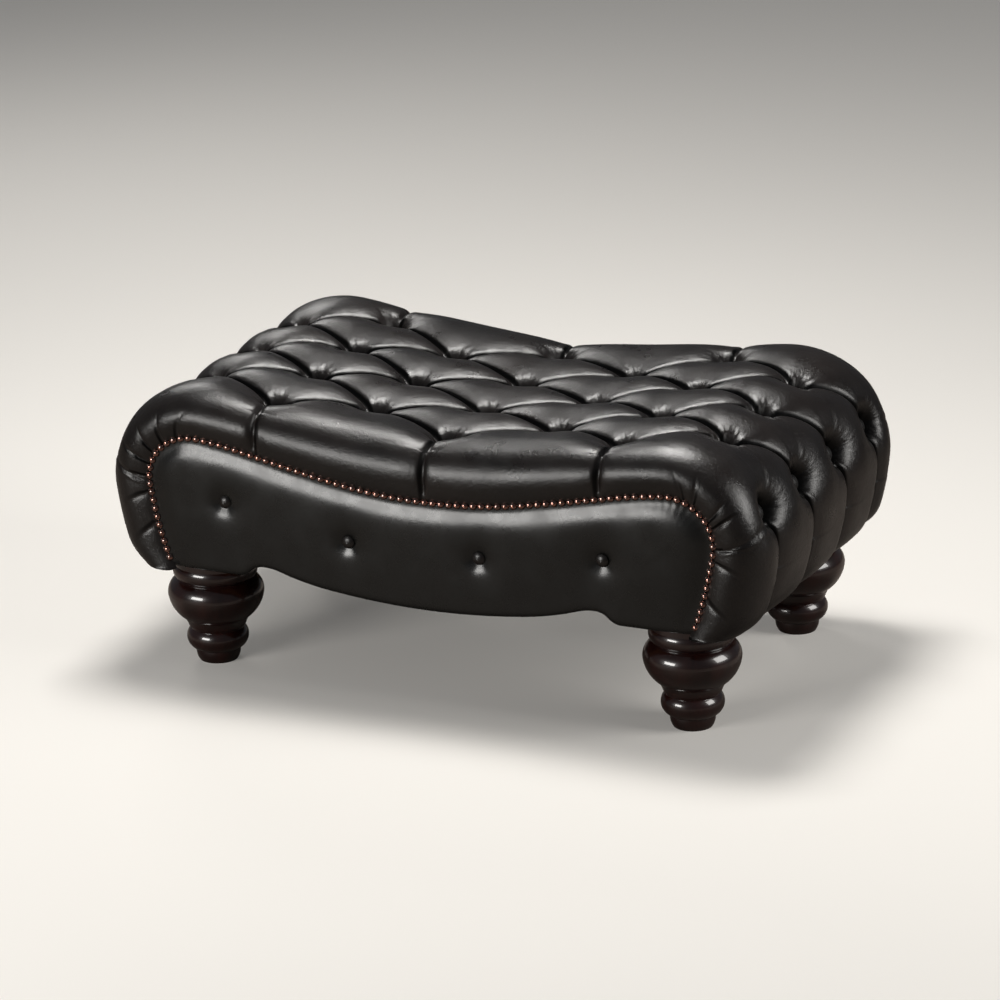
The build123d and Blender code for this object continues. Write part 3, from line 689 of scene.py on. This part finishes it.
def plain_grained(name, tint, dark, stretch, rough, bump, metal=0.0):
    """Hidden pieces: sawn beech, foam, cloth or plated steel, by grain stretch."""
    material, tree, shader, place = new_material(name)
    shift = node(tree, "ShaderNodeMapping", {"Vector": place, "Scale": stretch})
    grain = node(tree, "ShaderNodeTexNoise", {"Vector": shift.outputs[0], "Scale": 1.0,
                                              "Detail": 5.0})
    tone = two_tones(tree, grain.outputs["Fac"], 0.3, colour(dark), 0.7, colour(tint))
    relief = node(tree, "ShaderNodeBump", {"Height": grain.outputs["Fac"],
                                           "Strength": bump, "Distance": 0.001})
    plug(tree, shader, {"Base Color": tone, "Normal": relief.outputs["Normal"],
                        "Roughness": rough, "Metallic": metal})
    return material


def finish_node(name, material):
    """Gives a CAD node its material."""
    piece = frame["nodes"][name]
    piece.data.materials.clear()
    piece.data.materials.append(material)


def mesh_from(bm, name, material, *, smooth=True):
    """Object from a bmesh, at the origin, with its material."""
    mesh = bpy.data.meshes.new(name)
    bm.to_mesh(mesh)
    bm.free()
    if smooth:
        mesh.shade_smooth()
    piece = bpy.data.objects.new(name, mesh)
    bpy.context.collection.objects.link(piece)
    mesh.materials.append(material)
    return piece


def set_places(bm, places):
    """Moves every vertex of a bmesh to its new place, given in millimetres."""
    for vertex, place in zip(bm.verts, places):
        vertex.co = place * MM


class FOOTSTOOL_OT_cover(bpy.types.Operator):
    """Buttoned leather cover, rolled at front and back"""
    bl_idname = "footstool.cover"
    bl_label = "Buttoned cover"

    def execute(self, context):
        sizes = context.scene.footstool_cover
        grid = sizes.grid / MM
        columns = int(2 * cover_line.length / grid)
        angles, runs = roll_path(int(ROLL_RUN / grid) + 1)
        ys = np.linspace(-FLAT_HALF, FLAT_HALF, int(2 * FLAT_HALF / grid) + 1)
        turns = np.concatenate((angles[:-1], np.full(len(ys), math.pi / 2), angles[::-1][1:]))
        depths = np.concatenate((-FLAT_HALF - runs[:-1], ys, FLAT_HALF + runs[::-1][1:]))
        last = len(depths) - 1
        bm = bmesh.new()
        bmesh.ops.create_grid(bm, x_segments=columns, y_segments=last, size=1)
        co = np.array([v.co[:2] for v in bm.verts])
        s = co[:, 0] * cover_line.length
        row = np.rint((co[:, 1] + 1) / 2 * last).astype(int)
        y = depths[row]
        base = shell_points(s, turns[row], y)
        normal = outward(s, turns[row], y)
        swell, pull, away, fold = tuft_depth(s, y, sizes)
        # The edges are tacked down at the nails, where only the pleats go on
        to_nails = FLAT_HALF + runs[0] - np.abs(y)
        free = np.clip(to_nails / 24, 0, 1)
        free = free * free * (3 - 2 * free)
        pull = pull * (0.3 + 0.7 * free) - swell * free
        # Under the end rails the leather is drawn flat
        under = cover_line.marks[UNDER_POINT]
        pull *= 1 - np.clip((np.abs(s) - under + 4) / 12, 0, 1)
        # No fold goes deeper than the foam or board behind it
        room = 5 + 0.35 * to_nails.clip(0)
        room = np.minimum(room, depth_to_filling(base, normal) - LEATHER_THICKNESS).clip(0.3)
        set_places(bm, base - normal * held_back(pull, room)[:, None])
        material = leather("semi_aniline_leather", sizes.tint, sizes.worn, grain_mm=2.0,
                           rough=0.31, coat=0.14, bump=0.34, gathered=True)
        piece = mesh_from(bm, "buttoned_cover", material)
        for name, values in (("from_button", away), ("fold", fold)):
            layer = piece.data.attributes.new(name, "FLOAT_VECTOR", "POINT")
            layer.data.foreach_set("vector", values.ravel())
        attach(piece, "root")
        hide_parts("tufted_cover")
        return {"FINISHED"}


def tree_of(points):
    """Search tree over flat points."""
    search = KDTree(len(points))
    for number, (x, z) in enumerate(points):
        search.insert((x, z, 0), number)
    search.balance()
    return search


def nearest_in(search, x, z):
    """Distance to, and number of, the nearest point of a search tree."""
    found = [search.find((a, b, 0)) for a, b in zip(x, z)]
    return np.array([f[2] for f in found]), np.array([f[1] for f in found])


def facing_outline():
    """Points along the nail line with their runs, and along the bottom edge."""
    runs = np.arange(-nail_line.length, nail_line.length + 1, 1.0)
    x, z, nx, nz = nail_line.at(runs)
    nails = np.stack([x + SEAM * nx, z + SEAM * nz], axis=1)
    belly = belly_line.places[::2]
    reach = np.arange(BELLY_POINTS[-1][0], NAIL_POINTS[-1][0] + 1, 2.0)
    flat = np.stack([reach, np.full_like(reach, BELLY_POINTS[-1][1])], axis=1)
    right = np.concatenate((belly, flat))
    left = right[::-1] * (-1, 1)
    return nails, runs, np.concatenate((left, right))


def in_facing(x, z, low):
    """Whether places lie inside a facing's outline."""
    reach = np.abs(x)
    wide = np.argmax(nail_line.places[:, 0])
    top = nail_line.places[:wide + 1]
    side = nail_line.places[wide:][::-1]
    below_top = z < np.interp(reach, top[:, 0], top[:, 1]) - SEAM
    within = reach < np.where(z > top[-1, 1], top[-1, 0],
                              np.interp(z, side[:, 1], side[:, 0])) - SEAM
    right = low[len(low) // 2:]
    return below_top & within & (z > np.interp(reach, right[:, 0], right[:, 1]))


class FOOTSTOOL_OT_facings(bpy.types.Operator):
    """Padded leather panels inside the nail lines"""
    bl_idname = "footstool.facings"
    bl_label = "Facing panels"

    def execute(self, context):
        sizes = context.scene.footstool_facing
        material = leather("facing_leather", sizes.tint, sizes.tint, grain_mm=1.6, rough=0.28,
                           coat=0.12, bump=0.08)
        for name, side in (("front", 1), ("back", -1)):
            piece = self.panel(name, side, sizes, material)
            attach(piece, "root")
            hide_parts(f"{name}_facing")
        return {"FINISHED"}

    def panel(self, name, side, sizes, material):
        """One panel: a sheet cut to the nail line, crowned, dimpled and closed behind."""
        step = FACING_GRID[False]
        half_long, half_high = FACING_HALF
        nails, runs, low = facing_outline()
        bm = bmesh.new()
        bmesh.ops.create_grid(bm, x_segments=int(2 * half_long / step),
                              y_segments=int(2 * half_high / step), size=1)
        co = np.array([v.co[:2] for v in bm.verts])
        x = co[:, 0] * half_long
        z = FACING_MIDDLE + co[:, 1] * half_high
        inside = in_facing(x, z, low)
        bm.verts.ensure_lookup_table()
        outer = [f for f in bm.faces if not any(inside[v.index] for v in f.verts)]
        edge, number = nearest_in(tree_of(nails), x, z)
        base, low_number = nearest_in(tree_of(low), x, z)
        snap_up = ~inside & (edge <= base)
        snap_low = ~inside & (edge > base)
        x[snap_up], z[snap_up] = nails[number[snap_up]].T
        x[snap_low], z[snap_low] = low[low_number[snap_low]].T
        edge[snap_up] = 0
        base[snap_low] = 0
        y = -(NAIL_FACE + self.relief(x, z, edge, base, runs[number], sizes))
        set_places(bm, np.stack([x * side, y * side, z], axis=1))
        bmesh.ops.delete(bm, geom=outer, context="FACES")
        bmesh.ops.remove_doubles(bm, verts=bm.verts, dist=0.05 * MM)
        self.close_behind(bm, side)
        return mesh_from(bm, f"{name}_panel", material)

    def relief(self, x, z, edge, base, run, sizes):
        """How far the leather stands out from the nails' plane, in millimetres."""
        p = np.stack([x, z, np.zeros_like(x)], axis=1)
        crown = sizes.crown / MM
        # The leather lies flat for a few millimetres at the nails, then swells out
        free = np.clip(edge - 6, 0, None)
        relief = crown * (1 - 0.6 * np.exp(-(free / 17.0) ** 1.6) - 0.4 * np.exp(-free / 55.0))
        # It thins out towards the bottom edge, where it is turned under
        relief *= 0.35 + 0.65 * (1 - np.exp(-(base / 62.0) ** 1.5))
        relief += 1.1 * noise_field(p, 120, SEED + 6) * (1 - np.exp(-edge / 40.0)) - 0.6
        relief -= 0.5 * np.exp(-(edge / 4.5) ** 2)
        # Each nail pulls a small pucker, and the corners are strained the most
        corner = np.clip((np.abs(x) - 300) / 60, 0, 1)
        loose = 0.5 + 0.5 * noise_field(p, 30, SEED + 9)
        pucker = np.cos(2 * math.pi * run / NAIL_PITCH) * np.exp(-edge / 9.0) * loose
        relief -= pucker * (0.2 + 0.4 * corner)
        strain = noise_field(p, 15, SEED + 5) * np.exp(-((edge - 12) / 9.0) ** 2)
        relief += 0.25 * (0.4 + 1.2 * corner) * strain
        relief -= 4.0 * np.exp(-base / 3.2)
        for bx, bz in FACING_BUTTONS:
            r = np.hypot(x - bx, z - bz)
            turn = np.arctan2(z - bz, x - bx)
            relief -= sizes.dimple / MM * (0.72 * np.exp(-(r / 15.5) ** 2)
                                           + 0.36 * np.exp(-(r / 36.0) ** 2))
            fold = np.cos(7 * turn + bx) + 0.5 * np.cos(3 * turn + bz)
            relief += 0.10 * fold * np.exp(-((r - 16) / 8.0) ** 2)
        return relief

    def close_behind(self, bm, side):
        """Walls back to the board and a cap behind the panel."""
        rim = [e for e in bm.edges if e.is_boundary]
        back = {}
        for vertex in (v for e in rim for v in e.verts):
            if vertex not in back:
                x, _, z = vertex.co
                back[vertex] = bm.verts.new((x, -side * FACING_BACK * MM, z))
        for a, b in [e.verts for e in rim]:
            bm.faces.new((a, b, back[b], back[a]))
        bmesh.ops.edgeloop_fill(bm, edges=[e for e in bm.edges if e.is_boundary])
        bmesh.ops.recalc_face_normals(bm, faces=bm.faces)


class FOOTSTOOL_OT_nails(bpy.types.Operator):
    """Domed nail heads over the nails of both facings"""
    bl_idname = "footstool.nails"
    bl_label = "Nails"

    def execute(self, context):
        copper = antique_copper("antique_copper", context.scene.footstool_trim.copper)
        for name in ("front_nails", "back_nails"):
            finish_node(name, copper)
        return {"FINISHED"}


class FOOTSTOOL_OT_buttons(bpy.types.Operator):
    """Leather-covered buttons, deep ones and those of the facings"""
    bl_idname = "footstool.buttons"
    bl_label = "Buttons"

    def execute(self, context):
        cover = context.scene.footstool_cover
        covered = leather("button_leather", cover.tint, cover.worn, grain_mm=1.5, rough=0.34,
                          coat=0.2, bump=0.15)
        for name in ("front_facing_buttons", "back_facing_buttons"):
            finish_node(name, covered)
        # Deep buttons lie in shade at the bottom of the pits, so they get painted shade: a darker
        # tint, and a duller finish
        tint = [0.3 * c for c in cover.tint]
        deep = leather("deep_button_painted_shade", tint, tint, grain_mm=1.5, rough=0.5, coat=0.0,
                       bump=0.15)
        finish_node("tufting_buttons", deep)
        return {"FINISHED"}


class FOOTSTOOL_OT_feet(bpy.types.Operator):
    """Turned bun feet in lacquered mahogany"""
    bl_idname = "footstool.feet"
    bl_label = "Feet"

    def execute(self, context):
        gloss = lacquered_mahogany("lacquered_mahogany", context.scene.footstool_trim.mahogany)
        for end in ("front", "back"):
            for side in ("left", "right"):
                finish_node(f"foot_{end}_{side}", gloss)
        return {"FINISHED"}


class FOOTSTOOL_OT_frame(bpy.types.Operator):
    """Finishes of the wooden frame, webbing, cloths, foam and fasteners"""
    bl_idname = "footstool.frame"
    bl_label = "Frame and filling"

    def execute(self, context):
        finishes = {slot: plain_grained(*values) for slot, values in HIDDEN.items()}
        for entry in frame["record"]["subparts"]:
            if entry["material_slot"] in finishes:
                finish_node(entry["node"], finishes[entry["material_slot"]])
        return {"FINISHED"}


def area_lamp(name, place, target, size, power, tint):
    """Soft rectangular lamp aimed at a place."""
    data = bpy.data.lights.new(name, "AREA")
    data.shape = "RECTANGLE"
    data.size, data.size_y = size
    data.energy = power
    data.color = tint
    lamp = bpy.data.objects.new(name, data)
    lamp.location = place
    aim = Vector(target) - Vector(place)
    lamp.rotation_euler = aim.to_track_quat("-Z", "Y").to_euler()
    bpy.context.collection.objects.link(lamp)


class FOOTSTOOL_OT_stage(bpy.types.Operator):
    """Floor, soft lamps and the camera at the photograph's angle"""
    bl_idname = "footstool.stage"
    bl_label = "Stage"

    def execute(self, context):
        stage = context.scene.footstool_stage
        self.floor(stage)
        world = bpy.data.worlds.new("soft_room")
        context.scene.world = world
        world.use_nodes = True
        background = world.node_tree.nodes["Background"]
        plug(world.node_tree, background, {"Color": ROOM_TINT, "Strength": ROOM_LIGHT})
        for name, spot, size, power in LAMPS:
            area_lamp(name, spot, LAMP_TARGET, size, power * stage.power, LAMP_TINT)
        self.camera(context)
        return {"FINISHED"}

    def floor(self, stage):
        """Floor that is pale to the camera and darker in what it throws back."""
        material, tree, shader, _ = new_material("pale_floor")
        seen = node(tree, "ShaderNodeLightPath").outputs["Is Camera Ray"]
        tone = node(tree, "ShaderNodeMix", {"Factor": seen, "A": (*stage.bounce, 1),
                                            "B": (*stage.floor, 1)}, data_type="RGBA")
        plug(tree, shader, {"Base Color": tone.outputs["Result"],
                            "Emission Strength": times(tree, seen, FLOOR_LIFT),
                            "Emission Color": (*stage.floor, 1), "Roughness": 0.85})
        bm = bmesh.new()
        bmesh.ops.create_grid(bm, x_segments=1, y_segments=1, size=FLOOR_HALF)
        return mesh_from(bm, "floor", material, smooth=False)

    def camera(self, context):
        """Camera solved from the photograph, with its slight roll."""
        azimuth, elevation, roll = (math.radians(a) for a in CAMERA_ANGLES)
        back = Vector((math.sin(azimuth) * math.cos(elevation),
                       -math.cos(azimuth) * math.cos(elevation), math.sin(elevation)))
        right = Vector((math.cos(azimuth), math.sin(azimuth), 0))
        up = back.cross(right)
        turned_right = right * math.cos(roll) + up * math.sin(roll)
        turned_up = up * math.cos(roll) - right * math.sin(roll)
        data = bpy.data.cameras.new("camera")
        data.sensor_width = SENSOR
        data.lens = SENSOR * LENS_RATIO
        camera = bpy.data.objects.new("camera", data)
        turned = Matrix((turned_right, turned_up, back)).transposed().to_4x4()
        spot = Vector(CAMERA_TARGET) + back * CAMERA_DISTANCE
        camera.matrix_world = Matrix.Translation(spot) @ turned
        context.collection.objects.link(camera)
        context.scene.camera = camera


OPERATORS = (FOOTSTOOL_OT_stage, FOOTSTOOL_OT_frame, FOOTSTOOL_OT_cover,
             FOOTSTOOL_OT_facings, FOOTSTOOL_OT_nails, FOOTSTOOL_OT_buttons,
             FOOTSTOOL_OT_feet)


class FOOTSTOOL_PT_panel(bpy.types.Panel):
    """Sidebar panel with the footstool's pieces"""
    bl_label = "Footstool"
    bl_idname = "FOOTSTOOL_PT_panel"
    bl_space_type = "VIEW_3D"
    bl_region_type = "UI"
    bl_category = "Footstool"

    def draw(self, context):
        for operator in OPERATORS:
            self.layout.operator(operator.bl_idname)


GROUPS = (("footstool_cover", CoverSizes), ("footstool_facing", FacingSizes),
          ("footstool_trim", TrimSizes), ("footstool_stage", StageSizes))


def register():
    """Registers the groups, operators and panel."""
    for name, group in GROUPS:
        bpy.utils.register_class(group)
        setattr(bpy.types.Scene, name, PointerProperty(type=group))
    for kind in (*OPERATORS, FOOTSTOOL_PT_panel):
        bpy.utils.register_class(kind)


def unregister():
    """Takes back what register did."""
    for kind in (FOOTSTOOL_PT_panel, *reversed(OPERATORS)):
        bpy.utils.unregister_class(kind)
    for name, group in reversed(GROUPS):
        delattr(bpy.types.Scene, name)
        bpy.utils.unregister_class(group)


def main():
    """Builds the footstool and its stage."""
    register()
    bpy.context.scene.view_settings.view_transform = "Standard"
    bpy.ops.footstool.stage()
    bpy.ops.footstool.frame()
    bpy.ops.footstool.cover()
    bpy.ops.footstool.facings()
    bpy.ops.footstool.nails()
    bpy.ops.footstool.buttons()
    bpy.ops.footstool.feet()


if __name__ == "__main__":
    main()
